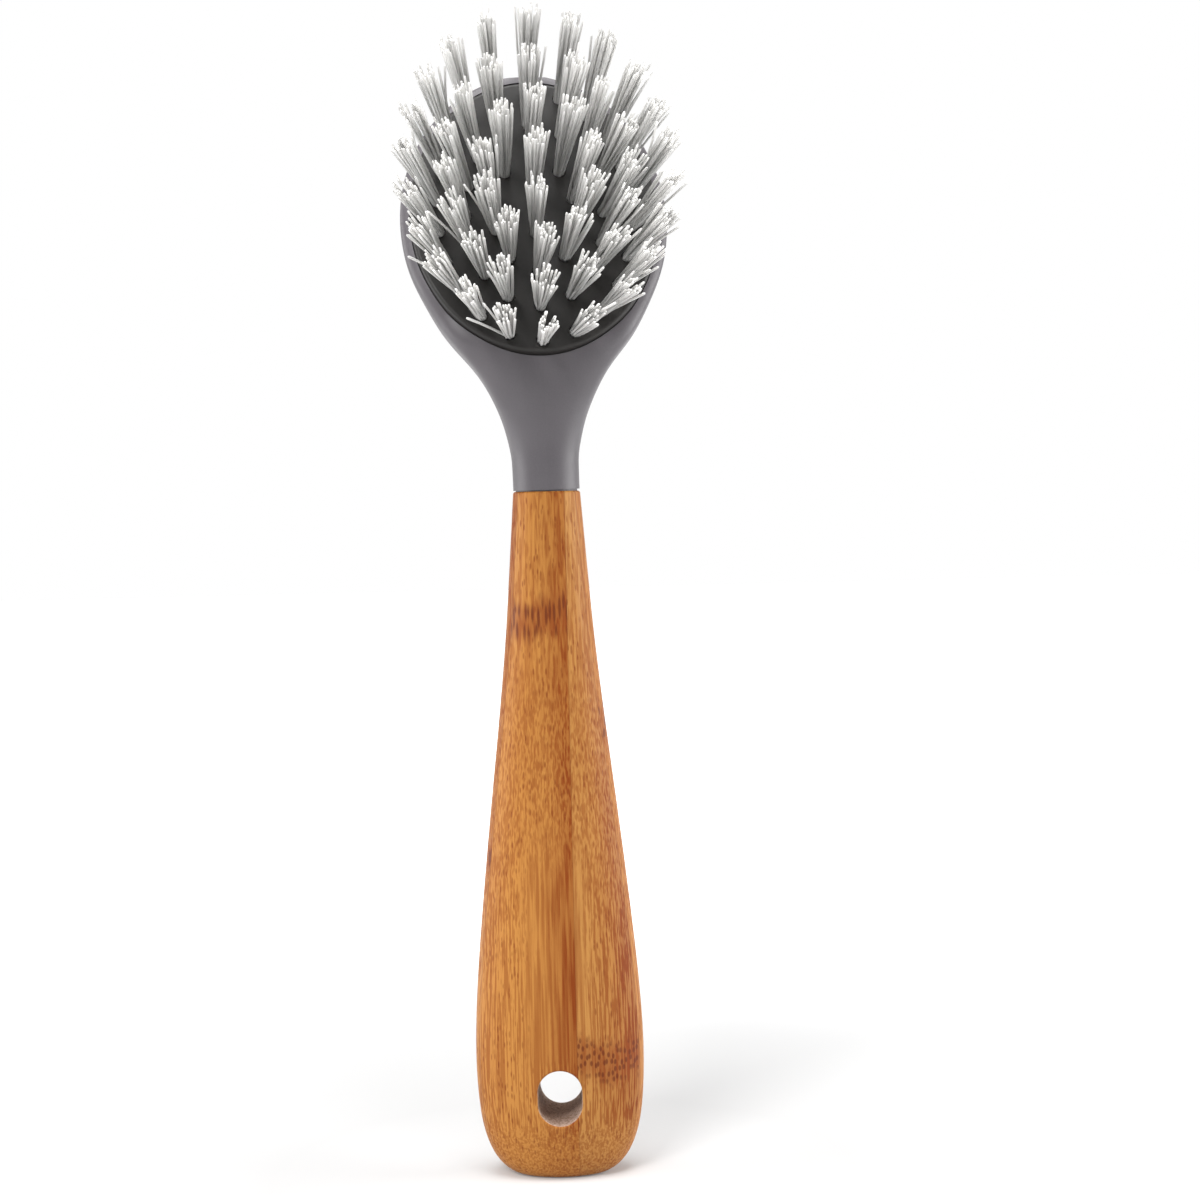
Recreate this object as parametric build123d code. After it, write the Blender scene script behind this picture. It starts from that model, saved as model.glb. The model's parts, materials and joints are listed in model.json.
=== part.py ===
from build123d import *
import math
import os

# Dish brush, upright on the end of its handle, bristles facing -Y.
# Millimetres and degrees. The origin is the middle of the flat on the handle's end.

# Handle: laminated bamboo, an oval bar that swells towards the hanging slot.
handle_length = 140.6
handle_width = 34.6
handle_thickness = 21.0
handle_top_width = 13.7
handle_top_thickness = 12.9
handle_end_height = 22.8
seam_chamfer = 0.3

# Height as a share of the handle's length, and how far it has swelled from the top's size to the widest.
handle_body_shares = [
    (0.251, 0.967),
    (0.399, 0.795),
    (0.547, 0.576),
    (0.693, 0.348),
    (0.811, 0.190),
    (0.898, 0.100),
    (0.960, 0.038),
    (1.000, 0.000),
]
# Height as a share of the rounded end, and the section's size there as a share of the widest.
handle_end_shares = [
    (0.000, 0.500),
    (0.030, 0.610),
    (0.085, 0.705),
    (0.175, 0.800),
    (0.280, 0.868),
    (0.450, 0.935),
    (0.680, 0.978),
    (1.000, 1.000),
]

# Hanging slot, taller than wide, through the wide end.
slot_width = 9.0
slot_height = 11.4
slot_centre_height = 17.4
slot_round = 0.4

# The glued strips: three layers, each of two strips, with the joints staggered.
layer_thickness = 7.0
front_joint_offset = 3.7
core_joint_offset = -5.6
back_joint_offset = 2.4

# Tang of the head frame, glued into a bore in the handle's top.
tang_radius = 4.0
tang_length = 30.0
tang_clearance = 0.1
tang_end_gap = 1.0

# Bristle block: an oval plate, set into the frame and leaning back with it.
block_width = 51.0
block_length = 62.0
block_thickness = 6.0
block_stand = 0.3
block_round = 0.8
block_clearance = 0.15
block_end_above_seam = 28.1
block_end_forward = 8.5

# Head frame: neck, shoulders and an oval cup with a thin rim round the block.
head_lean = 22.0
head_side_lean = 0.9
head_twist = 5.0
rim_width = 2.0
rim_height = 1.6
cup_thickness = 10.9
cup_end_thickness = 6.6
neck_width = 13.6
neck_depth = 12.8
shoulder_height = 3.4
shoulder_depth = 8.9
foot_groove_height = 0.3
foot_groove_depth = 0.5

# The frame's section changes from the round neck to the wide cup. Each row holds, as shares:
# rise (of the block end's height above the neck's foot), forward (of the block end's distance forward),
# lean (of the head's lean), widening (from neck to cup), front (from neck to shoulder height),
# back (from neck to shoulder depth). Heights and depths count from a section's widest line.
neck_shares = [
    (0.000, 0.000, 0.00, 0.000, 0.00, 0.00),
    (0.050, 0.000, 0.00, 0.000, 0.00, 0.00),
    (0.100, 0.000, 0.00, 0.000, 0.00, 0.00),
    (0.150, 0.000, 0.00, 0.001, 0.00, 0.00),
    (0.214, 0.000, 0.00, 0.003, 0.00, 0.00),
    (0.370, 0.034, 0.04, 0.036, 0.06, 0.12),
    (0.512, 0.101, 0.13, 0.087, 0.19, 0.34),
    (0.655, 0.193, 0.27, 0.163, 0.36, 0.65),
    (0.797, 0.290, 0.45, 0.260, 0.56, 0.91),
    (0.940, 0.346, 0.68, 0.387, 0.77, 0.98),
    (1.100, 0.313, 0.88, 0.558, 0.92, 0.94),
    (1.250, 0.121, 1.00, 0.690, 0.98, 0.85),
]
# Angles round the cup's oval at which a section is taken, from low on the cup to its end.
cup_angles = [-32, -20, -7, 6, 19, 31, 42, 52, 61, 69, 75, 79]
# How full a section's quarters are: a true oval at the neck, squarer at the cup's rim and back.
round_fullness_share = 0.56
front_fullness_share = 0.84
back_fullness_share = 0.78

# Tufts: three ovals and a pair in the middle, fanned out from the block's centre.
outer_oval_inset_across = 5.5
outer_oval_inset_along = 2.5
oval_step_across = 5.8
oval_step_along = 7.7
middle_pair_spacing = 8.4
outer_tuft_count = 22
middle_tuft_count = 16
inner_tuft_count = 10
fan_reach_across = 63.7
fan_reach_along = 95.5
tuft_length = 23.0

# A tuft: its root fills the hole over the wire anchor, and its strands spread towards their tips.
hole_radius = 1.35
hole_depth = 4.8
root_clearance = 0.08
root_stand = 0.5
strand_count = 8
strand_width = 0.45
strand_base_radius = 0.85
strand_tip_radius = 2.45
strand_sink = 1.0
strand_length_change = 0.9
strand_spread_change = 0.5
turn_between_strands = 137.5

# Wire anchor, a slip of flat wire across the bottom of the hole.
anchor_thickness = 0.35
anchor_width = 2.1
anchor_height = 1.7
anchor_clearance = 0.05

# One length that every cut runs past the surface it starts from.
overrun = 2.0

cup_width = block_width + 2 * rim_width
cup_length = block_length + 2 * rim_width
slot_run = handle_thickness + 2 * overrun

# The block's face: its local X runs across the head and its local Y along it, and it looks out of the brush.
lean = math.radians(head_lean)
face = Plane(
    origin=(0, -block_end_forward, handle_length + block_end_above_seam),
    x_dir=(1, 0, 0),
    z_dir=(0, -math.cos(lean), math.sin(lean)),
)
block_centre = block_length / 2


def on_face(across, along, out):
    """A point given across the head, along it from the block's lower end, and out from the block's face."""
    return face.from_local_coords(Vector(across, along, out))


def turned_head(solid):
    """The head sits a few degrees turned about the handle's axis and tips a touch to the left."""
    seat = Pos(0, 0, handle_length)
    return seat * Rot(0, -head_side_lean, head_twist) * seat.inverse() * solid


def handle_bar():
    """A loft through ellipses, from the flat on the end up to the seam."""
    sections = []
    for height_share, size_share in handle_end_shares:
        level = Plane(origin=(0, 0, handle_end_height * height_share))
        half_width = handle_width * size_share / 2
        half_thickness = handle_thickness * size_share / 2
        sections.append(level * Ellipse(half_width, half_thickness))
    for height_share, swell_share in handle_body_shares:
        level = Plane(origin=(0, 0, handle_length * height_share))
        width = handle_top_width + (handle_width - handle_top_width) * swell_share
        thickness = handle_top_thickness + (handle_thickness - handle_top_thickness) * swell_share
        sections.append(level * Ellipse(width / 2, thickness / 2))
    return loft(sections)


def hanging_slot():
    """A round-ended slot that runs past both faces of the handle."""
    middle = Plane(origin=(0, 0, slot_centre_height), x_dir=(0, 0, 1), z_dir=(0, 1, 0))
    return extrude(middle * SlotOverall(slot_height, slot_width), slot_run / 2, both=True)


def tang_bore():
    """A round hole down from the handle's top."""
    depth = tang_length + tang_end_gap
    radius = tang_radius + tang_clearance
    return Pos(0, 0, handle_length - depth) * Cylinder(
        radius, depth + overrun, align=(Align.CENTER, Align.CENTER, Align.MIN)
    )


def whole_handle():
    """The carved bar with its slot and bore, before it is parted into strips."""
    bar = handle_bar()
    top_rim = bar.faces().sort_by(Axis.Z)[-1].edges()
    bar = chamfer(top_rim, seam_chamfer)
    bar = bar - hanging_slot()
    rims = [
        edge
        for edge in bar.edges()
        if edge.bounding_box().min.Z > slot_centre_height - slot_height
        and edge.bounding_box().max.Z < slot_centre_height + slot_height
        and edge.bounding_box().size.Y < handle_thickness / 2
    ]
    bar = fillet(rims, slot_round)
    return bar - tang_bore()


def strip_block(x_low, x_high, y_low, y_high):
    """A box over one strip's share of the section, along the whole handle."""
    size = Vector(x_high - x_low, y_high - y_low, handle_length + 2 * overrun)
    centre = Vector((x_low + x_high) / 2, (y_low + y_high) / 2, handle_length / 2)
    return Pos(*centre) * Box(size.X, size.Y, size.Z)


def handle_strips():
    """The six strips, each the carved bar's part between its glue faces."""
    bar = whole_handle()
    side = handle_width / 2 + overrun
    face_y = handle_thickness / 2 + overrun
    half_core = layer_thickness / 2
    layers = {
        "front": (-face_y, -half_core, front_joint_offset),
        "core": (-half_core, half_core, core_joint_offset),
        "back": (half_core, face_y, back_joint_offset),
    }
    strips = {}
    for name, (y_low, y_high, joint) in layers.items():
        strips[f"handle_strip_{name}_left"] = bar & strip_block(-side, joint, y_low, y_high)
        strips[f"handle_strip_{name}_right"] = bar & strip_block(joint, side, y_low, y_high)
    return strips


def quarter(half_width, height, fullness):
    """A smooth quarter of an oval, from its side to its top, squarer as its fullness nears 1."""
    return Bezier(
        Vector(half_width, 0),
        Vector(half_width, height * fullness),
        Vector(half_width * fullness, height),
        Vector(0, height),
    )


def frame_section(plane, half_width, front, back, squareness):
    """One closed section of the frame, flat-topped in front and full at the back where it is square."""
    front_fullness = round_fullness_share + (front_fullness_share - round_fullness_share) * squareness
    back_fullness = round_fullness_share + (back_fullness_share - round_fullness_share) * squareness
    edges = [
        quarter(half_width, front, front_fullness),
        quarter(-half_width, front, front_fullness),
        quarter(-half_width, -back, back_fullness),
        quarter(half_width, -back, back_fullness),
    ]
    return plane * make_face(edges)


def leaning_plane(forward, height, angle):
    """A section plane across the frame, whose local Y points to the front."""
    turn = math.radians(angle)
    return Plane(
        origin=(0, -forward, height),
        x_dir=(1, 0, 0),
        z_dir=(0, -math.sin(turn), -math.cos(turn)),
    )


def frame_shell():
    """A loft from the neck's foot, just clear of the handle, to the far end of the oval cup."""
    sections = []
    half_neck = neck_width / 2
    half_cup = cup_width / 2
    foot = handle_length + foot_groove_height
    for rise, forward, lean_share, widening, front, back in neck_shares:
        plane = leaning_plane(
            block_end_forward * forward,
            foot + (block_end_above_seam - foot_groove_height) * rise,
            head_lean * lean_share,
        )
        half_width = half_neck + (half_cup - half_neck) * widening
        front_height = neck_depth / 2 + (shoulder_height - neck_depth / 2) * front
        back_height = neck_depth / 2 + (shoulder_depth - neck_depth / 2) * back
        sections.append(frame_section(plane, half_width, front_height, back_height, front))
    shoulder_thickness = shoulder_height + shoulder_depth
    shoulder_sine = math.sin(math.radians(cup_angles[0]))
    for angle in cup_angles:
        turn = math.radians(angle)
        sine = math.sin(turn)
        fall = (sine - shoulder_sine) / (1 - shoulder_sine)
        front_height = shoulder_height + (rim_height - shoulder_height) * fall
        if angle > 0:
            thickness = cup_end_thickness + (cup_thickness - cup_end_thickness) * math.cos(turn)
        else:
            thickness = cup_thickness + (shoulder_thickness - cup_thickness) * sine**2
        middle = on_face(0, block_centre + cup_length / 2 * sine, -block_stand - front_height)
        plane = leaning_plane(-middle.Y, middle.Z, head_lean)
        half_width = half_cup * math.cos(turn)
        sections.append(frame_section(plane, half_width, front_height, thickness - front_height, 1))
    return loft(sections)


def oval_plate(grow, low, high):
    """The block's oval, made larger all round by grow, between two levels on the block's face."""
    outline = Pos(0, block_centre, low) * Ellipse(block_width / 2 + grow, block_length / 2 + grow)
    return extrude(face * outline, high - low, dir=face.z_dir)


def head_frame():
    """Shell, recess for the block, the collar that seats on the handle, and the tang below it.

    The collar and the tang stay upright on the handle, and the shell is turned about its seat.
    """
    shell = frame_shell() - oval_plate(block_clearance, -block_thickness, overrun)
    seat = Plane(origin=(0, 0, handle_length))
    collar = Ellipse(neck_width / 2 - foot_groove_depth, neck_depth / 2 - foot_groove_depth)
    collar = extrude(seat * collar, foot_groove_height + overrun)
    tang = Pos(0, 0, handle_length - tang_length) * Cylinder(
        tang_radius, tang_length + overrun, align=(Align.CENTER, Align.CENTER, Align.MIN)
    )
    return turned_head(shell) + collar + tang


def oval_places(width, length, count):
    """Places spaced evenly by length round an oval, from its lower end."""
    steps = 720
    points = []
    for step in range(steps + 1):
        turn = 2 * math.pi * step / steps - math.pi / 2
        points.append((width / 2 * math.cos(turn), length / 2 * math.sin(turn)))
    runs = [0.0]
    for start, end in zip(points, points[1:]):
        runs.append(runs[-1] + math.dist(start, end))
    places = []
    for number in range(count):
        wanted = runs[-1] * number / count
        index = min(range(steps + 1), key=lambda k: abs(runs[k] - wanted))
        places.append(points[index])
    return places


def tuft_places():
    """Every tuft's name and its place across and along the head, from the block's centre."""
    places = {}
    width = block_width - 2 * outer_oval_inset_across
    length = block_length - 2 * outer_oval_inset_along
    ovals = [("outer", outer_tuft_count), ("middle", middle_tuft_count), ("inner", inner_tuft_count)]
    for name, count in ovals:
        for number, place in enumerate(oval_places(width, length, count)):
            places[f"tuft_{name}_{number + 1:02d}"] = place
        width = width - 2 * oval_step_across
        length = length - 2 * oval_step_along
    places["tuft_centre_01"] = (0, -middle_pair_spacing / 2)
    places["tuft_centre_02"] = (0, middle_pair_spacing / 2)
    return places


def tuft_plane(place):
    """The tuft's own plane: its origin on the block's face and its Z along the tuft.

    The tufts fan out as if from a line well behind the block, a nearer one across than along.
    """
    across, along = place
    out = face.x_dir * (across / fan_reach_across) + face.y_dir * (along / fan_reach_along) + face.z_dir
    return Plane(origin=on_face(across, block_centre + along, 0), x_dir=face.x_dir, z_dir=out)


def root(plane):
    """The packed strands that fill the hole, with the slit where they fold over the anchor."""
    body = Pos(0, 0, -hole_depth) * Cylinder(
        hole_radius - root_clearance, hole_depth + root_stand, align=(Align.CENTER, Align.CENTER, Align.MIN)
    )
    slit = Pos(0, 0, -hole_depth) * Box(
        2 * hole_radius,
        anchor_thickness + 2 * anchor_clearance,
        anchor_height + anchor_clearance,
        align=(Align.CENTER, Align.CENTER, Align.MIN),
    )
    return plane * (body - slit)


def strand(plane, base_radius, tip_radius, angle, length):
    """One square strand from inside the root to its tip, leaning out by as much as its tip stands out."""
    turn = math.radians(angle)
    outwards = Vector(math.cos(turn), math.sin(turn), 0)
    foot = outwards * base_radius - Vector(0, 0, strand_sink)
    tip = outwards * tip_radius + Vector(0, 0, length)
    own = Plane(origin=foot, x_dir=Vector(-outwards.Y, outwards.X, 0), z_dir=tip - foot)
    return plane * extrude(own * Rectangle(strand_width, strand_width), (tip - foot).length)


def tuft(place, number):
    """A root and its strands: one in the middle and a ring of others, no two quite alike."""
    plane = tuft_plane(place)
    strands = [strand(plane, 0, 0, 0, tuft_length)]
    for index in range(strand_count):
        change = math.cos(math.radians(turn_between_strands * (index + number * strand_count)))
        length = tuft_length - strand_length_change * abs(change)
        tip_radius = strand_tip_radius + strand_spread_change * change
        angle = 360 * index / strand_count
        strands.append(strand(plane, strand_base_radius, tip_radius, angle, length))
    return root(plane).fuse(*strands)


def bristle_block(places):
    """The oval plate with a hole for every tuft."""
    plate = oval_plate(0, -block_thickness, 0)
    front_rim = plate.faces().sort_by(Axis((0, 0, 0), face.z_dir))[-1].edges()
    plate = fillet(front_rim, block_round)
    holes = [
        tuft_plane(place)
        * Pos(0, 0, -hole_depth)
        * Cylinder(hole_radius, hole_depth + overrun, align=(Align.CENTER, Align.CENTER, Align.MIN))
        for place in places.values()
    ]
    return plate.cut(*holes)


def anchors(places):
    """A slip of flat wire at the bottom of every hole."""
    slips = [
        tuft_plane(place)
        * Pos(0, 0, -hole_depth)
        * Box(anchor_width, anchor_thickness, anchor_height, align=(Align.CENTER, Align.CENTER, Align.MIN))
        for place in places.values()
    ]
    return Compound(slips)


def all_nodes():
    """Every piece by its node's name."""
    places = tuft_places()
    nodes = handle_strips()
    nodes["head_frame"] = head_frame()
    nodes["bristle_block"] = turned_head(bristle_block(places))
    nodes["tuft_anchors"] = turned_head(anchors(places))
    for number, (name, place) in enumerate(places.items()):
        nodes[name] = turned_head(tuft(place, number))
    return nodes


os.makedirs("parts", exist_ok=True)
for node, solid in all_nodes().items():
    export_step(solid, f"parts/{node}.step")
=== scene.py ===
import json
import math

import bpy
import numpy as np
from mathutils import Matrix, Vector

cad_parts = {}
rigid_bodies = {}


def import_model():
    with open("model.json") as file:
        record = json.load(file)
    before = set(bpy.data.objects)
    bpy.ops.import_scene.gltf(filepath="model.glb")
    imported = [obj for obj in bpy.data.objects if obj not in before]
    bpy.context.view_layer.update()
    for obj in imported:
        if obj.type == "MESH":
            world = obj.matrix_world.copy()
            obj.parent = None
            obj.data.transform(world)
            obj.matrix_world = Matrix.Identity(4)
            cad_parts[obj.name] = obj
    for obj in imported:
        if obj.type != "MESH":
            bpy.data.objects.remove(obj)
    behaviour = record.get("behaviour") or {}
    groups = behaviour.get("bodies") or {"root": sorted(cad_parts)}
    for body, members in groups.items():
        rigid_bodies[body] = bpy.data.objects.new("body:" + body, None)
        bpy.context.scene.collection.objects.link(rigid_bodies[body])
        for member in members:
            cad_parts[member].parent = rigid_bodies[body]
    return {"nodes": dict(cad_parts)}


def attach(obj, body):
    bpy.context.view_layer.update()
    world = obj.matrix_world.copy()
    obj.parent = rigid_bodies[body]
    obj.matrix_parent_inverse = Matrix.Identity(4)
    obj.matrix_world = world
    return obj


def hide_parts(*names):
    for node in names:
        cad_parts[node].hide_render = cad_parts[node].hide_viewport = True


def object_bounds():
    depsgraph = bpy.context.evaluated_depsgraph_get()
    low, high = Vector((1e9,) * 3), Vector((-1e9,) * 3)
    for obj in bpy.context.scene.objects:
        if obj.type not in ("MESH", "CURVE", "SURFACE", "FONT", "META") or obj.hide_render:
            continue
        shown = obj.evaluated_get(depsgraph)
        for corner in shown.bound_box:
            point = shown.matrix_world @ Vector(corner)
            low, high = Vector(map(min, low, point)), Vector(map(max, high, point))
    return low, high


# Dish brush, upright on the end of its handle, bristles facing -Y.
# Sizes are in millimetres and are turned to metres when a mesh is made. Materials and the studio use metres.
for thing in list(bpy.data.objects):
    bpy.data.objects.remove(thing)
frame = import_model()
cad_low, cad_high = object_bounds()

# Handle strips: six strips of bamboo, glued in three layers of two, then turned and sanded to an oval
# that swells towards the hanging slot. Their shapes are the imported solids; what they need is the wood.
# Bamboo is all straight fibre. Sanding a taper across it cuts the fibre bundles into short staggered dashes,
# along the flat middle they run on as long lines, and round the end they turn to specks.
slot_centre_height = 17.4
slot_width = 9.0
slot_height = 11.4
half_core_layer = 3.5

# For each strip: the height of the cane's joint and the length of its dark marks, how far the patterns are
# shifted, the X of its glued side face, the X at which it is lightest and darkest, and its two tones.
strips = {
    "front_left": (115.0, 7.0, 11.0, 3.7, (-2.0, 3.2), ("803804", "bb7f3c")),
    "front_right": (24.5, 1.8, 47.0, 3.7, (5.0, 16.0), ("803905", "b98243")),
    "core_left": (66.0, 6.0, 83.0, -5.6, (-16.0, -6.0), ("803a06", "b87e40")),
    "core_right": (92.0, 3.0, 129.0, -5.6, (10.0, -3.0), ("7f3906", "b97d3f")),
    "back_left": (44.0, 8.0, 171.0, 2.4, (-3.0, -15.0), ("803a06", "b98041")),
    "back_right": (118.0, 4.0, 211.0, 2.4, (3.0, 12.0), ("7c3705", "b47b3c")),
}


def linear(colour):
    """The linear colour that an sRGB hex value stands for, with its alpha.

    Up to 0.04045 a channel is divided by 12.92. Above that, 0.055 is added to it, and the sum is divided by
    1.055 and raised to the power of 2.4.
    """
    channels = [int(colour[start : start + 2], 16) / 255 for start in (0, 2, 4)]
    return [c / 12.92 if c <= 0.04045 else ((c + 0.055) / 1.055) ** 2.4 for c in channels] + [1]


def add(tree, kind, inputs, **settings):
    """Adds a node to a material. Each input, by name or number, is a value or another node's output."""
    made = tree.nodes.new("ShaderNode" + kind)
    for name, value in settings.items():
        setattr(made, name, value)
    for name, value in inputs.items():
        if isinstance(value, bpy.types.NodeSocket):
            tree.links.new(value, made.inputs[name])
        else:
            made.inputs[name].default_value = value
    return made


def bamboo(name, joint_height, mark_length, shift, glue_x, light_to_dark, tones):
    """Oiled bamboo for one strip. A pattern's scale is 1000 over its size in millimetres.

    The colour goes from the strip's dark tone to its light one by a share: 0.8 of a broad noise, plus 0.42
    of the cut bundles' grain, plus 0.18 of the fibres, less half the slope from its light side to its dark
    one. The dashes, the cane's joint, the glue and the bare wall of the slot are then laid over it in turn.
    """
    material = bpy.data.materials.new("oiled_bamboo_" + name)
    material.use_nodes = True
    tree = material.node_tree
    shader = tree.nodes["Principled BSDF"]
    place = add(tree, "TexCoord", {}).outputs["Object"]
    axes = add(tree, "SeparateXYZ", {0: place}).outputs
    across = axes["X"]
    along = axes["Z"]
    offset = (shift, shift * 1.7, shift * 0.3)
    smooth = {"interpolation_type": "SMOOTHSTEP"}

    # Broad soft tones, 9 mm wide and 60 mm long, and a slope from the strip's light side to its dark side.
    tone_place = add(tree, "Mapping", {0: place, 1: offset, 3: (110, 110, 16)}).outputs[0]
    tone = add(tree, "TexNoise", {0: tone_place, "Scale": 1, "Detail": 3}).outputs[0]
    light_x, dark_x = light_to_dark
    slope = add(tree, "MapRange", {0: across, 1: light_x / 1000, 2: dark_x / 1000}).outputs[0]

    # Fine fibres, 0.4 mm wide and 20 mm long, light and dark beside each other.
    fibre_place = add(tree, "Mapping", {0: place, 1: offset, 3: (2600, 2600, 50)}).outputs[0]
    fibre = add(tree, "TexNoise", {0: fibre_place, "Scale": 1, "Detail": 1}).outputs[0]
    fibre = add(tree, "MapRange", {0: fibre, 1: 0.36, 2: 0.64}).outputs[0]

    # Cut bundles: hatching of 0.4 by 1.8 mm, wavier streaks of 0.7 by 6 mm, lines of 0.7 by 80 mm, and
    # specks of half a millimetre.
    hatch_place = add(tree, "Mapping", {0: place, 1: offset, 3: (2600, 2600, 550)}).outputs[0]
    hatch = add(tree, "TexNoise", {0: hatch_place, "Scale": 1, "Detail": 1}).outputs[0]
    streak_place = add(tree, "Mapping", {0: place, 1: offset, 3: (1500, 1500, 160)}).outputs[0]
    wavy = {0: streak_place, "Scale": 1, "Detail": 1, "Distortion": 0.5}
    streaks = add(tree, "TexNoise", wavy).outputs[0]
    line_place = add(tree, "Mapping", {0: place, 1: offset, 3: (1500, 1500, 12)}).outputs[0]
    lines = add(tree, "TexNoise", {0: line_place, "Scale": 1, "Detail": 1}).outputs[0]
    speck_place = add(tree, "Mapping", {0: place, 1: offset, 3: (2200, 2200, 1800)}).outputs[0]
    specks = add(tree, "TexNoise", {0: speck_place, "Scale": 1, "Detail": 1}).outputs[0]

    # Where each shows: hatching, run together with fibres towards the wide end, then over it the streaks
    # towards the top, the lines in the flat middle of the lower half, and the specks round the end.
    wide = add(tree, "MapRange", {0: along, 1: 0.070, 2: 0.040, 3: 0.0, 4: 0.6}).outputs[0]
    top = add(tree, "MapRange", {0: along, 1: 0.090, 2: 0.112}, **smooth).outputs[0]
    aside = add(tree, "Math", {0: across}, operation="ABSOLUTE").outputs[0]
    middle = add(tree, "MapRange", {0: aside, 1: 0.0085, 2: 0.0045}, **smooth).outputs[0]
    above = add(tree, "MapRange", {0: along, 1: 0.018, 2: 0.028}, **smooth).outputs[0]
    below = add(tree, "MapRange", {0: along, 1: 0.078, 2: 0.058}, **smooth).outputs[0]
    flat = add(tree, "Math", {0: middle, 1: above}, operation="MULTIPLY").outputs[0]
    flat = add(tree, "Math", {0: flat, 1: below}, operation="MULTIPLY").outputs[0]
    end = add(tree, "MapRange", {0: along, 1: 0.015, 2: 0.007}, **smooth).outputs[0]
    grain = hatch
    for region, pattern in ((wide, fibre), (top, streaks), (flat, lines), (end, specks)):
        grain = add(tree, "Mix", {0: region, 2: grain, 3: pattern}, data_type="FLOAT").outputs[0]
    grain = add(tree, "MapRange", {0: grain, 1: 0.39, 2: 0.61}, **smooth).outputs[0]

    # The tones together, as a share from dark to light. The slope fades out round the end.
    share = add(tree, "Math", {0: tone, 1: 0.8}, operation="MULTIPLY").outputs[0]
    side = add(tree, "Math", {0: end, 1: 0.5, 2: -0.5}, operation="MULTIPLY_ADD").outputs[0]
    for pattern, weight in ((grain, 0.42), (fibre, 0.18), (slope, side)):
        share = add(tree, "Math", {0: pattern, 1: weight, 2: share}, operation="MULTIPLY_ADD").outputs[0]
    share = add(tree, "MapRange", {0: share, 1: -0.05, 2: 1.0}).outputs[0]
    dark, light = tones
    colour = add(tree, "Mix", {0: share, 6: linear(dark), 7: linear(light)}, data_type="RGBA").outputs[2]

    # Dark vessel dashes 0.4 mm wide and 1.3 mm long, one to a cell of 0.65 by 2.2 mm, some darker than
    # others, and all faint in the flat middle.
    cell_place = add(tree, "Mapping", {0: place, 1: offset, 3: (1550, 1550, 450)}).outputs[0]
    cell = add(tree, "TexVoronoi", {0: cell_place, "Scale": 1, "Randomness": 0.85}).outputs
    core = add(tree, "MapRange", {0: cell["Distance"], 1: 0.42, 2: 0.18}, **smooth).outputs[0]
    pick = add(tree, "SeparateColor", {0: cell["Color"]}).outputs[0]
    some = add(tree, "MapRange", {0: pick, 1: 0.1, 2: 0.9, 3: 0.1, 4: 0.6}).outputs[0]
    broken = add(tree, "Math", {0: flat, 1: -0.8, 2: 1.0}, operation="MULTIPLY_ADD").outputs[0]
    dash = add(tree, "Math", {0: core, 1: some}, operation="MULTIPLY").outputs[0]
    dash = add(tree, "Math", {0: dash, 1: broken}, operation="MULTIPLY").outputs[0]

    # The cane's joint: a wavy band, redder, with dark marks in it that run with the fibres. They are 0.5 mm
    # wide and 0.9 mm apart, and go straight through from front to back.
    wave_place = add(tree, "Mapping", {0: place, 1: offset, 3: (220, 220, 60)}).outputs[0]
    wave = add(tree, "TexNoise", {0: wave_place, "Scale": 1, "Detail": 2}).outputs[0]
    lowest = joint_height / 1000 - 0.005
    centre = add(tree, "Math", {0: wave, 1: 0.010, 2: lowest}, operation="MULTIPLY_ADD").outputs[0]
    away = add(tree, "Math", {0: along, 1: centre}, operation="SUBTRACT").outputs[0]
    away = add(tree, "Math", {0: away}, operation="ABSOLUTE").outputs[0]
    band = add(tree, "MapRange", {0: away, 1: 0.0055, 2: 0.0020}, **smooth).outputs[0]
    redder = add(tree, "Math", {0: band, 1: 0.5}, operation="MULTIPLY").outputs[0]
    front = add(tree, "CombineXYZ", {0: across, 1: along}).outputs[0]
    mark_place = add(tree, "Mapping", {0: front, 1: offset, 3: (1150, 1000 / mark_length, 1)}).outputs[0]
    mark_cells = {0: mark_place, "Scale": 1, "Randomness": 0.75}
    distance = add(tree, "TexVoronoi", mark_cells, voronoi_dimensions="2D").outputs["Distance"]
    mark = add(tree, "MapRange", {0: distance, 1: 0.40, 2: 0.22}).outputs[0]
    mark = add(tree, "Math", {0: mark, 1: band}, operation="MULTIPLY").outputs[0]
    mark = add(tree, "Math", {0: mark, 1: 0.75}, operation="MULTIPLY").outputs[0]

    # Glue: a faint line about 0.3 mm wide where this strip meets its neighbours.
    beside = add(tree, "Math", {0: across, 1: glue_x / 1000}, operation="SUBTRACT").outputs[0]
    beside = add(tree, "Math", {0: beside}, operation="ABSOLUTE").outputs[0]
    depth = add(tree, "Math", {0: axes["Y"]}, operation="ABSOLUTE").outputs[0]
    depth = add(tree, "Math", {0: depth, 1: half_core_layer / 1000}, operation="SUBTRACT").outputs[0]
    depth = add(tree, "Math", {0: depth}, operation="ABSOLUTE").outputs[0]
    nearest = add(tree, "Math", {0: beside, 1: depth}, operation="MINIMUM").outputs[0]
    line = add(tree, "MapRange", {0: nearest, 1: 0.00022, 2: 0.00004, 3: 0, 4: 0.25}).outputs[0]

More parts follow.
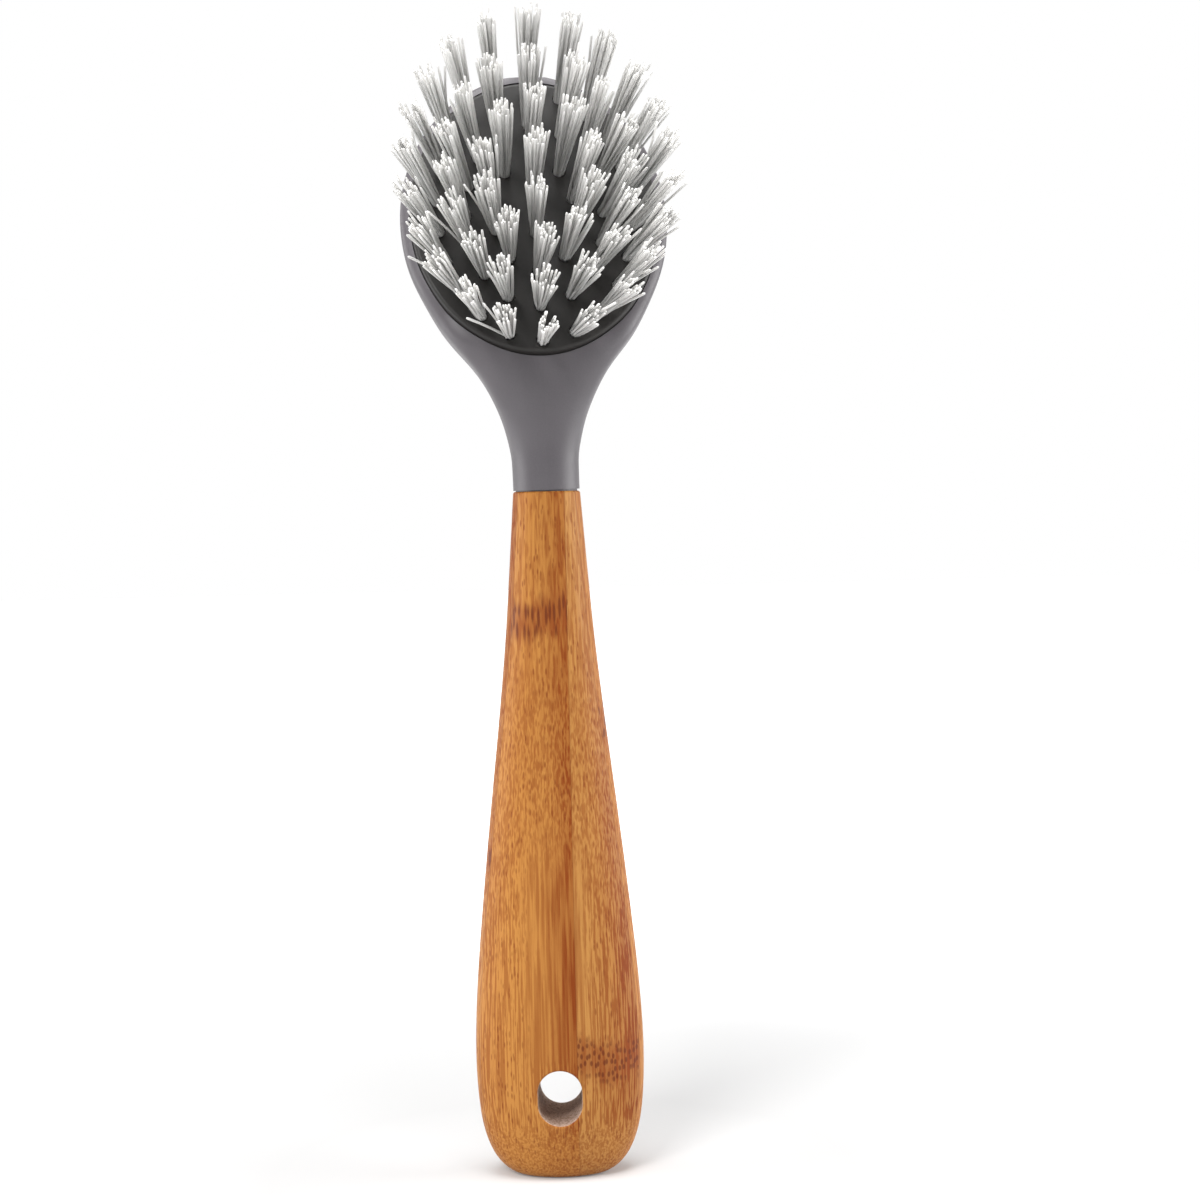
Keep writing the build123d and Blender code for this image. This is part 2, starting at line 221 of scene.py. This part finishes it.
    # The slot's wall was routed after oiling: paler, greyer, rougher and fuzzier than the skin. It is where
    # the distance from the slot's middle line is no more than half the slot's width.
    straight = (slot_height - slot_width) / 2000
    half_slot = slot_width / 2000
    height = add(tree, "Math", {0: along, 1: slot_centre_height / 1000}, operation="SUBTRACT").outputs[0]
    height = add(tree, "Math", {0: height}, operation="ABSOLUTE").outputs[0]
    height = add(tree, "Math", {0: height, 1: straight}, operation="SUBTRACT").outputs[0]
    height = add(tree, "Math", {0: height, 1: 0.0}, operation="MAXIMUM").outputs[0]
    square = add(tree, "Math", {0: height, 1: height}, operation="MULTIPLY").outputs[0]
    square = add(tree, "Math", {0: across, 1: across, 2: square}, operation="MULTIPLY_ADD").outputs[0]
    radius = add(tree, "Math", {0: square}, operation="SQRT").outputs[0]
    wall = add(tree, "MapRange", {0: radius, 1: half_slot + 0.00012, 2: half_slot + 0.00002}).outputs[0]
    fuzz = add(tree, "MapRange", {0: specks, 1: 0.3, 2: 0.7}).outputs[0]
    cut = add(tree, "Mix", {0: fuzz, 6: linear("94796a"), 7: linear("d3bcab")}, data_type="RGBA").outputs[2]
    bare = add(tree, "Math", {0: wall, 1: 0.9}, operation="MULTIPLY").outputs[0]

    for cover, over in (
        (dash, linear("702b02")),
        (redder, linear("823a10")),
        (mark, linear("5c2206")),
        (line, linear("6b3b19")),
        (bare, cut),
    ):
        colour = add(tree, "Mix", {0: cover, 6: colour, 7: over}, data_type="RGBA").outputs[2]
    tree.links.new(colour, shader.inputs["Base Color"])

    # Oil leaves the light grain a little glossier than the dark, and the dashes are sunk pores.
    gloss = add(tree, "MapRange", {0: grain, 3: 0.56, 4: 0.44}).outputs[0]
    gloss = add(tree, "Math", {0: wall, 1: 0.3, 2: gloss}, operation="MULTIPLY_ADD").outputs[0]
    tree.links.new(gloss, shader.inputs["Roughness"])
    relief = add(tree, "Math", {0: dash, 1: -0.8, 2: grain}, operation="MULTIPLY_ADD").outputs[0]
    bump = add(tree, "Bump", {"Height": relief, "Strength": 0.35, "Distance": 0.00005})
    tree.links.new(bump.outputs[0], shader.inputs["Normal"])
    shader.inputs["IOR"].default_value = 1.45
    shader.inputs["Specular IOR Level"].default_value = 0.22
    return material


for name, facts in strips.items():
    frame["nodes"]["handle_strip_" + name].material_slots[0].material = bamboo(name, *facts)

# Head frame: neck, shoulders and oval cup, moulded in one piece of grey polypropylene with a tang that is
# glued into the handle. The mould's face was spark-eroded, which leaves an even fine matte grain. The grain
# is drawn 0.3 mm wide, coarser than it is, so that it shows, over faint clouds 11 mm wide.
slate = bpy.data.materials.new("moulded_slate_polypropylene")
slate.use_nodes = True
tree = slate.node_tree
shader = tree.nodes["Principled BSDF"]
place = add(tree, "TexCoord", {}).outputs["Object"]
grain = add(tree, "TexNoise", {0: place, "Scale": 3600, "Detail": 2, "Roughness": 0.6}).outputs[0]
cloud = add(tree, "TexNoise", {0: place, "Scale": 90, "Detail": 3}).outputs[0]
shade = add(tree, "Math", {0: grain, 1: 0.35}, operation="MULTIPLY").outputs[0]
shade = add(tree, "Math", {0: cloud, 1: 0.65, 2: shade}, operation="MULTIPLY_ADD").outputs[0]
shade = add(tree, "MapRange", {0: shade, 1: 0.3, 2: 0.7}).outputs[0]
colour = add(tree, "Mix", {0: shade, 6: linear("4d494d"), 7: linear("595559")}, data_type="RGBA")
tree.links.new(colour.outputs[2], shader.inputs["Base Color"])
gloss = add(tree, "MapRange", {0: grain, 1: 0.3, 2: 0.7, 3: 0.36, 4: 0.48})
tree.links.new(gloss.outputs[0], shader.inputs["Roughness"])
bump = add(tree, "Bump", {"Height": grain, "Strength": 0.25, "Distance": 0.00005})
tree.links.new(bump.outputs[0], shader.inputs["Normal"])
shader.inputs["IOR"].default_value = 1.49
frame["nodes"]["head_frame"].material_slots[0].material = slate

# Bristle block: a darker charcoal oval plate of the same plastic, drilled for the tufts and set in the cup.
# Its matte grain is drawn 0.4 mm wide, coarser than it is, so that it shows.
charcoal = bpy.data.materials.new("moulded_charcoal_polypropylene")
charcoal.use_nodes = True
tree = charcoal.node_tree
shader = tree.nodes["Principled BSDF"]
place = add(tree, "TexCoord", {}).outputs["Object"]
grain = add(tree, "TexNoise", {0: place, "Scale": 2600, "Detail": 2, "Roughness": 0.6}).outputs[0]
colour = add(tree, "Mix", {0: grain, 6: linear("1d1b1a"), 7: linear("292725")}, data_type="RGBA")
tree.links.new(colour.outputs[2], shader.inputs["Base Color"])
gloss = add(tree, "MapRange", {0: grain, 1: 0.3, 2: 0.7, 3: 0.40, 4: 0.52})
tree.links.new(gloss.outputs[0], shader.inputs["Roughness"])
bump = add(tree, "Bump", {"Height": grain, "Strength": 0.3, "Distance": 0.00005})
tree.links.new(bump.outputs[0], shader.inputs["Normal"])
shader.inputs["IOR"].default_value = 1.49
shader.inputs["Specular IOR Level"].default_value = 0.3
frame["nodes"]["bristle_block"].material_slots[0].material = charcoal

# Wire anchors: slips of flat drawn steel wire that hold each folded tuft in its hole, out of sight.
# Drawing left fine marks along the wire, 0.1 mm wide and 1.7 mm long.
steel = bpy.data.materials.new("drawn_steel_wire")
steel.use_nodes = True
tree = steel.node_tree
shader = tree.nodes["Principled BSDF"]
place = add(tree, "TexCoord", {}).outputs["Object"]
drawn_place = add(tree, "Mapping", {0: place, 3: (600, 9000, 9000)}).outputs[0]
drawn = add(tree, "TexNoise", {0: drawn_place, "Scale": 1, "Detail": 2}).outputs[0]
colour = add(tree, "Mix", {0: drawn, 6: linear("a4a4a6"), 7: linear("bcbcbe")}, data_type="RGBA")
tree.links.new(colour.outputs[2], shader.inputs["Base Color"])
gloss = add(tree, "MapRange", {0: drawn, 1: 0.3, 2: 0.7, 3: 0.28, 4: 0.42})
tree.links.new(gloss.outputs[0], shader.inputs["Roughness"])
shader.inputs["Metallic"].default_value = 1
frame["nodes"]["tuft_anchors"].material_slots[0].material = steel

# Tufts: each is a bunch of round off-white nylon strands, folded over its anchor in the hole, so that both
# ends stand up and fan out. They were trimmed level and their ends ground round, and a few stray aside.
# Painted shade greys each strand towards its foot, and painted light whitens its tip.
handle_length = 140.6
head_lean = math.radians(22)
head_side_lean = math.radians(0.9)
head_twist = math.radians(5)
block_end_above_seam = 28.1
block_end_forward = 8.5
block_length = 62.0
outer_oval_width = 40.0
outer_oval_length = 57.0
oval_step_across = 5.8
oval_step_along = 7.7
middle_pair_spacing = 8.4
oval_counts = {"outer": 22, "middle": 16, "inner": 10}
fan_reach_across = 63.7
fan_reach_along = 95.5
tuft_length = 23.0

strands_in_tuft = 29
strand_radius = 0.25
strand_start = -2.9
tuft_base_radius = 1.05
tuft_tip_radius = 2.6
tuft_tip_limit = 3.0
tip_wander = 0.75
clumps = 4
clump_radius = 1.5
clump_pull = 0.35
golden_angle = 2.39996
spreads = np.arange(1.0, 0.3, -0.03)
tuft_sway = 0.35
trim_allowance = 0.1
trim_spread = 0.6
strongest_curl = 0.9
sides = 6
smooth_up_to = math.radians(65)

# The rings along a strand, as shares of its length, and their radii: even, then ground round at the tip.
ring_levels = np.array([0, 0.13, 0.34, 0.56, 0.78, 0.975, 0.993, 1.0])
ring_widths = np.array([1, 1, 1, 1, 1, 1, 0.8, 0.35]) * strand_radius

# Strays: the tuft, the way it leans out in degrees from across the head, and how many millimetres its tip
# stands aside.
strays = {
    "outer_22": [(184, 8.0), (150, 4.8)],
    "outer_20": [(170, 5.2)],
    "outer_02": [(20, 4.2)],
    "outer_04": [(250, 4.0)],
    "outer_07": [(130, 4.4)],
    "outer_10": [(170, 4.0)],
    "outer_15": [(20, 4.4)],
    "outer_17": [(60, 4.4)],
    "middle_03": [(10, 4.6)],
    "middle_08": [(75, 4.2)],
    "middle_14": [(200, 4.8)],
    "inner_05": [(60, 4.5)],
    "inner_09": [(190, 4.2)],
}

twist = [
    [math.cos(head_twist), -math.sin(head_twist), 0],
    [math.sin(head_twist), math.cos(head_twist), 0],
    [0, 0, 1],
]
tip_left = [
    [math.cos(head_side_lean), 0, -math.sin(head_side_lean)],
    [0, 1, 0],
    [math.sin(head_side_lean), 0, math.cos(head_side_lean)],
]
turn = np.array(tip_left) @ np.array(twist)
seat = np.array([0, 0, handle_length])
face_across = turn @ [1, 0, 0]
face_along = turn @ [0, math.sin(head_lean), math.cos(head_lean)]
face_out = turn @ [0, -math.cos(head_lean), math.sin(head_lean)]
face_end = seat + turn @ [0, -block_end_forward, block_end_above_seam]


def oval_places(width, length, count):
    """Places round an oval, from its lower end, spaced by equal shares of its running length."""
    angle = np.linspace(-math.pi / 2, 1.5 * math.pi, 721)
    points = np.stack([width / 2 * np.cos(angle), length / 2 * np.sin(angle)], axis=1)
    run = np.concatenate([[0], np.cumsum(np.linalg.norm(np.diff(points, axis=0), axis=1))])
    wanted = run[-1] * np.arange(count) / count
    return np.stack([np.interp(wanted, run, points[:, 0]), np.interp(wanted, run, points[:, 1])], axis=1)


def tuft_strands(stray, seed, spread):
    """All of one tuft's strands as tubes, with shape (strands, rings, sides, 3).

    A strand's foot lies on a sunflower disc: it turns by the golden angle from the one before, at a radius
    that grows with the root of its number. Its tip lies on a wider disc, drawn towards its quarter's clump.
    No tip but a stray's passes the tuft's limit. The distance from the tuft's axis grows from foot to tip,
    partly with the height to the power of 0.75 and partly with its square. Spread narrows all the tips.
    """
    chance = np.random.default_rng(seed)
    count = strands_in_tuft + len(stray)
    number = np.arange(count)
    spin = number * golden_angle + seed
    share = np.sqrt((number + 0.5) / count)
    unit = np.stack([np.cos(spin), np.sin(spin)], axis=1)
    foot = unit * (tuft_base_radius * share)[:, None]
    tip = unit * (tuft_tip_radius * chance.uniform(0.8, 1.1) * share)[:, None]
    start = chance.uniform(0, 2 * math.pi)
    clump = np.floor((spin - start) / (2 * math.pi) * clumps % clumps)
    clump_turn = start + (clump + 0.5) * 2 * math.pi / clumps
    centre = np.stack([np.cos(clump_turn), np.sin(clump_turn)], axis=1) * clump_radius
    tip = tip + (centre - tip) * clump_pull + chance.normal(0, tip_wander, (count, 2))
    tip = tip + chance.normal(0, tuft_sway, 2)
    tip = tip * np.minimum(1, tuft_tip_limit / np.linalg.norm(tip, axis=1))[:, None]
    curl = chance.uniform(-0.1, strongest_curl, count)
    length = tuft_length - trim_allowance - np.abs(chance.normal(0, trim_spread, count))
    for index, (direction, reach) in enumerate(stray):
        aim = math.radians(direction)
        tip[-1 - index] = reach * math.cos(aim), reach * math.sin(aim)
        curl[-1 - index] = strongest_curl
    tip = tip * spread
    height = strand_start + (length[:, None] - strand_start) * ring_levels
    rise = np.clip(height / length[:, None], 0, None)
    bow = rise**0.75 * (1 - curl[:, None] * 0.5) + rise**2 * curl[:, None] * 0.5
    middle = np.concatenate(
        [foot[:, None] + (tip - foot)[:, None] * bow[:, :, None], height[:, :, None]], axis=2
    )
    angle = np.arange(sides) * 2 * math.pi / sides
    ring = np.stack([np.cos(angle), np.sin(angle), 0 * angle], axis=1)
    return middle[:, :, None] + ring * ring_widths[None, :, None, None]


def tube_faces(tubes, rings, around):
    """Quads round every tube from ring to ring, and one face over each of its ends."""
    corner = np.arange(tubes * rings * around).reshape(tubes, rings, around)
    low, high = corner[:, :-1], corner[:, 1:]
    walls = np.stack([low, np.roll(low, -1, 2), np.roll(high, -1, 2), high], axis=-1).reshape(-1, 4)
    return walls.tolist() + corner[:, 0, ::-1].tolist() + corner[:, -1].tolist()


# The nylon goes grey to white by the strand's tone and painted shade, plus faint clouds 1.4 mm wide.
nylon = bpy.data.materials.new("extruded_nylon_strand")
nylon.use_nodes = True
tree = nylon.node_tree
shader = tree.nodes["Principled BSDF"]
# The strand's own tone with painted shade towards its foot.
strand_tone_and_painted_shade = add(tree, "Attribute", {}, attribute_name="strand_tone_and_painted_shade").outputs["Fac"]
place = add(tree, "TexCoord", {}).outputs["Object"]
cloud = add(tree, "TexNoise", {0: place, "Scale": 700, "Detail": 2}).outputs[0]
shade = add(tree, "Math", {0: cloud, 1: 0.2, 2: strand_tone_and_painted_shade}, operation="MULTIPLY_ADD").outputs[0]
shade = add(tree, "MapRange", {0: shade, 1: 0.1, 2: 1.1}).outputs[0]
colour = add(tree, "Mix", {0: shade, 6: linear("a0a09e"), 7: linear("fdfcfa")}, data_type="RGBA")
tree.links.new(colour.outputs[2], shader.inputs["Base Color"])
gloss = add(tree, "MapRange", {0: cloud, 1: 0.3, 2: 0.7, 3: 0.30, 4: 0.42})
tree.links.new(gloss.outputs[0], shader.inputs["Roughness"])
shader.inputs["IOR"].default_value = 1.53

# A strand's tone: its own within this range, plus painted shade, whitening with the square of the height.
tone_range = (0.05, 0.6)
painted_shade_whitening = 0.55

tuft_places = {}
for ring_number, (ring_name, count) in enumerate(oval_counts.items()):
    width = outer_oval_width - 2 * oval_step_across * ring_number
    length = outer_oval_length - 2 * oval_step_along * ring_number
    for number, place in enumerate(oval_places(width, length, count)):
        tuft_places[f"{ring_name}_{number + 1:02d}"] = place
tuft_places["centre_01"] = np.array([0, -middle_pair_spacing / 2])
tuft_places["centre_02"] = np.array([0, middle_pair_spacing / 2])

for seed, (name, (across, along)) in enumerate(tuft_places.items()):
    out = face_across * across / fan_reach_across + face_along * along / fan_reach_along + face_out
    out = out / np.linalg.norm(out)
    side = face_across - out * (face_across @ out)
    side = side / np.linalg.norm(side)
    axes = np.stack([side, np.cross(out, side), out])
    base = face_end + face_across * across + face_along * (block_length / 2 + along)
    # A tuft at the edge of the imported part's box is drawn narrower until all its strands lie in the box.
    for spread in spreads:
        strands = tuft_strands(strays.get(name, []), seed, spread)
        points = (base + strands @ axes) / 1000
        if (points.min((0, 1, 2)) >= cad_low).all() and (points.max((0, 1, 2)) <= cad_high).all():
            break
    count, rings = strands.shape[:2]
    mesh = bpy.data.meshes.new("strands_" + name)
    mesh.from_pydata(points.reshape(-1, 3).tolist(), [], tube_faces(count, rings, sides))
    tones = np.random.default_rng(1000 + seed).uniform(*tone_range, count)
    # Painted shade: greyer at each strand's foot, whiter towards its tip.
    tones = tones[:, None, None] + painted_shade_whitening * ring_levels[None, :, None] ** 2 + np.zeros(sides)
    mesh.attributes.new("strand_tone_and_painted_shade", "FLOAT", "POINT").data.foreach_set("value", tones.ravel())
    mesh.shade_smooth()
    mesh.set_sharp_from_angle(angle=smooth_up_to)
    mesh.materials.append(nylon)
    strands_piece = bpy.data.objects.new("strands_" + name, mesh)
    bpy.context.scene.collection.objects.link(strands_piece)
    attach(strands_piece, "root")
    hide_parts("tuft_" + name)

# Studio: a plain pale floor that stays white to the camera except for the brush's own soft shadow. It glows
# a little within 6 cm of the foot, not at all where the shadow lies, and fully beyond 35 cm, so that no grey
# horizon shows.
floor_half = 3.0
mesh = bpy.data.meshes.new("floor")
mesh.from_pydata(
    [(x * floor_half, y * floor_half, -0.0001) for x, y in ((-1, -1), (1, -1), (1, 1), (-1, 1))],
    [],
    [(0, 1, 2, 3)],
)
floor = bpy.data.objects.new("floor", mesh)
bpy.context.scene.collection.objects.link(floor)
pale = bpy.data.materials.new("matte_white_paper")
pale.use_nodes = True
tree = pale.node_tree
shader = tree.nodes["Principled BSDF"]
shader.inputs["Base Color"].default_value = linear("cfcfcf")
shader.inputs["Roughness"].default_value = 0.9
shader.inputs["Emission Color"].default_value = (1, 1, 1, 1)
rays = add(tree, "LightPath", {}).outputs
seen = add(tree, "Math", {0: rays["Is Camera Ray"], 1: rays["Is Glossy Ray"]}, operation="MAXIMUM")
seen = add(tree, "Math", {0: seen.outputs[0], 1: rays["Is Transmission Ray"]}, operation="MAXIMUM")
place = add(tree, "TexCoord", {}).outputs["Object"]
distance = add(tree, "VectorMath", {0: place}, operation="LENGTH").outputs["Value"]
foot = add(tree, "MapRange", {0: distance, 1: 0.02, 2: 0.06, 3: 0.12, 4: 0.0}).outputs[0]
far = add(tree, "MapRange", {0: distance, 1: 0.12, 2: 0.35}, interpolation_type="SMOOTHSTEP").outputs[0]
white = add(tree, "Math", {0: foot, 1: far}, operation="ADD").outputs[0]
glow = add(tree, "Math", {0: seen.outputs[0], 1: white}, operation="MULTIPLY")
tree.links.new(glow.outputs[0], shader.inputs["Emission Strength"])
mesh.materials.append(pale)

# White surround: full white where the camera or a reflection sees it, and a plain level as light.
world = bpy.data.worlds.new("white_surround")
bpy.context.scene.world = world
world.use_nodes = True
tree = world.node_tree
surround = tree.nodes["Background"]
surround.inputs["Color"].default_value = (1, 1, 1, 1)
rays = add(tree, "LightPath", {}).outputs
seen = add(tree, "Math", {0: rays["Is Camera Ray"], 1: rays["Is Glossy Ray"]}, operation="MAXIMUM")
seen = add(tree, "Math", {0: seen.outputs[0], 1: rays["Is Transmission Ray"]}, operation="MAXIMUM")
level = add(tree, "MapRange", {0: seen.outputs[0], 3: 0.30, 4: 1.0})
tree.links.new(level.outputs[0], surround.inputs["Strength"])

# Lamps: soft boxes high on the left in front and overhead, and one at each side that brightens the edges.
# Each faces the brush at mid height. Its place and width are in metres and its power in watts.
mid_height = 0.13
lamps = {
    "key": ((-0.45, -1.00, 1.00), 0.45, 9.8),
    "top": ((0.00, -0.25, 1.35), 0.8, 16.0),
    "right_side": ((1.00, 0.00, 0.30), 0.8, 10.0),
    "left_side": ((-1.00, 0.00, 0.30), 0.8, 7.0),
}
for name, (spot, width, power) in lamps.items():
    light = bpy.data.lights.new(name, "AREA")
    light.size = width
    light.energy = power
    lamp = bpy.data.objects.new(name, light)
    bpy.context.scene.collection.objects.link(lamp)
    back = np.array(spot) - [0, 0, mid_height]
    back = back / np.linalg.norm(back)
    side = np.cross([0, 0, 1], back)
    side = side / np.linalg.norm(side)
    columns = np.stack([side, np.cross(back, side), back, spot], axis=1)
    lamp.matrix_world = Matrix(columns.tolist() + [[0, 0, 0, 1]])

# Camera: a long lens half a metre in front, level with the handle's top, tipped down a little and rolled
# so that the brush leans a touch to the left, as it was photographed.
pitch = math.radians(2.58)
roll = math.radians(-1.33)
ahead = np.array([0, math.cos(pitch), -math.sin(pitch)])
level_up = np.array([0, math.sin(pitch), math.cos(pitch)])
right = np.array([math.cos(roll), 0, 0]) + level_up * math.sin(roll)
up = level_up * math.cos(roll) - np.array([math.sin(roll), 0, 0])
stand = np.array([0.01043, -0.5, 0.1406])
view = bpy.data.cameras.new("camera")
view.lens = 73.2
view.sensor_width = 36
camera = bpy.data.objects.new("camera", view)
bpy.context.scene.collection.objects.link(camera)
camera.matrix_world = Matrix(np.stack([right, up, -ahead, stand], axis=1).tolist() + [[0, 0, 0, 1]])
bpy.context.scene.camera = camera
bpy.context.scene.view_settings.view_transform = "Standard"
